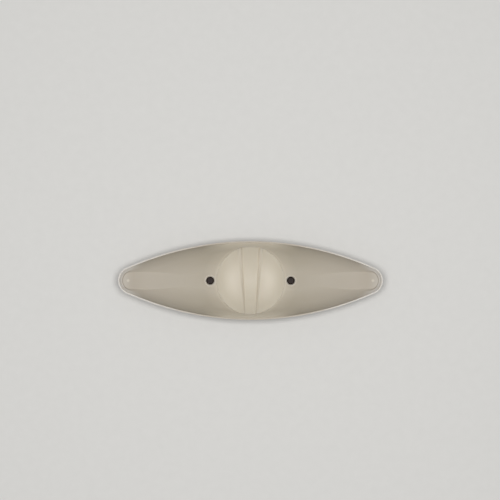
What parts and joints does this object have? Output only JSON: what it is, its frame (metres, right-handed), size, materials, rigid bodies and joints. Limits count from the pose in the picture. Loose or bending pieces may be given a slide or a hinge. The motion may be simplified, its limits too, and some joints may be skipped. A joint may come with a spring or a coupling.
{
  "type": "spoke wheel light",
  "caption": "Almond-shaped frosted wheel light with a domed push button, held on a bicycle spoke by a screw-down clamp plate on its back.",
  "frame": {"origin": "under the middle of the body, on the flat back of the clamp plate", "axes": "+X along the body, +Y across it along the spoke, +Z out of the lit face"},
  "size_m": [0.122, 0.0362, 0.0198],
  "materials": {
    "frosted_shell": "frosted translucent polycarbonate",
    "frosted_back": "frosted translucent polycarbonate",
    "satin_button": "satin milky polycarbonate",
    "seal_rubber": "moulded silicone",
    "board_laminate": "solder mask over glass laminate",
    "switch_case": "moulded nylon",
    "switch_plunger": "moulded nylon",
    "led_epoxy": "diffused epoxy",
    "chip_case": "moulded epoxy",
    "chip_resistor": "glazed ceramic",
    "chip_capacitor": "fired ceramic",
    "cell_steel": "bright nickel plate",
    "contact_brass": "rolled sheet",
    "holder_plastic": "moulded",
    "plate_plastic": "moulded polycarbonate",
    "pad_rubber": "moulded",
    "black_screw": "black oxide",
    "nut_steel": "zinc plate"
  },
  "bodies": {
    "clamp": {"clamp_plate": "plate_plastic", "spoke_pad": "pad_rubber", "clamp_nuts": "nut_steel"},
    "housing": {"front_shell": "frosted_shell", "back_shell": "frosted_back", "shell_seal": "seal_rubber", "circuit_board": "board_laminate", "tact_switch": "switch_case", "led_left": "led_epoxy", "led_right": "led_epoxy", "controller_chip": "chip_case", "resistors": "chip_resistor", "capacitor": "chip_capacitor", "coin_cell_lower": "cell_steel", "coin_cell_upper": "cell_steel", "positive_contact": "contact_brass", "negative_contact": "contact_brass", "cell_holder": "holder_plastic"},
    "button": {"push_button": "satin_button"},
    "plunger": {"switch_plunger": "switch_plunger"},
    "screw_left": {"clamp_screw_left": "black_screw"},
    "screw_right": {"clamp_screw_right": "black_screw"}
  },
  "joints": [
    {"name": "clamp_slide", "type": "slide", "parent": "clamp", "child": "housing", "axis": [0, 0, 1], "range_m": [0, 0.002]},
    {"name": "button_press", "type": "slide", "parent": "housing", "child": "button", "axis": [0, 0, -1], "range_m": [0, 0.0005], "stiffness_N_per_m": 600, "springref_m": -0.00005},
    {"name": "plunger_press", "type": "slide", "parent": "housing", "child": "plunger", "axis": [0, 0, -1], "range_m": [0, 0.0005]},
    {"name": "screw_left_turn", "type": "hinge", "parent": "housing", "child": "screw_left", "pos_m": [-0.0185, 0, 0.0157], "axis": [0, 0, 1], "range_deg": [0, 1800.5]},
    {"name": "screw_right_turn", "type": "hinge", "parent": "housing", "child": "screw_right", "pos_m": [0.0185, 0, 0.0157], "axis": [0, 0, 1], "range_deg": [0, 1800.5]}
  ],
  "couplings": [
    {"joint": "plunger_press", "follows": "button_press", "ratio": 1},
    {"joint": "screw_left_turn", "follows": "clamp_slide", "rad_per_m": 15708},
    {"joint": "screw_right_turn", "follows": "clamp_slide", "rad_per_m": 15708}
  ]
}
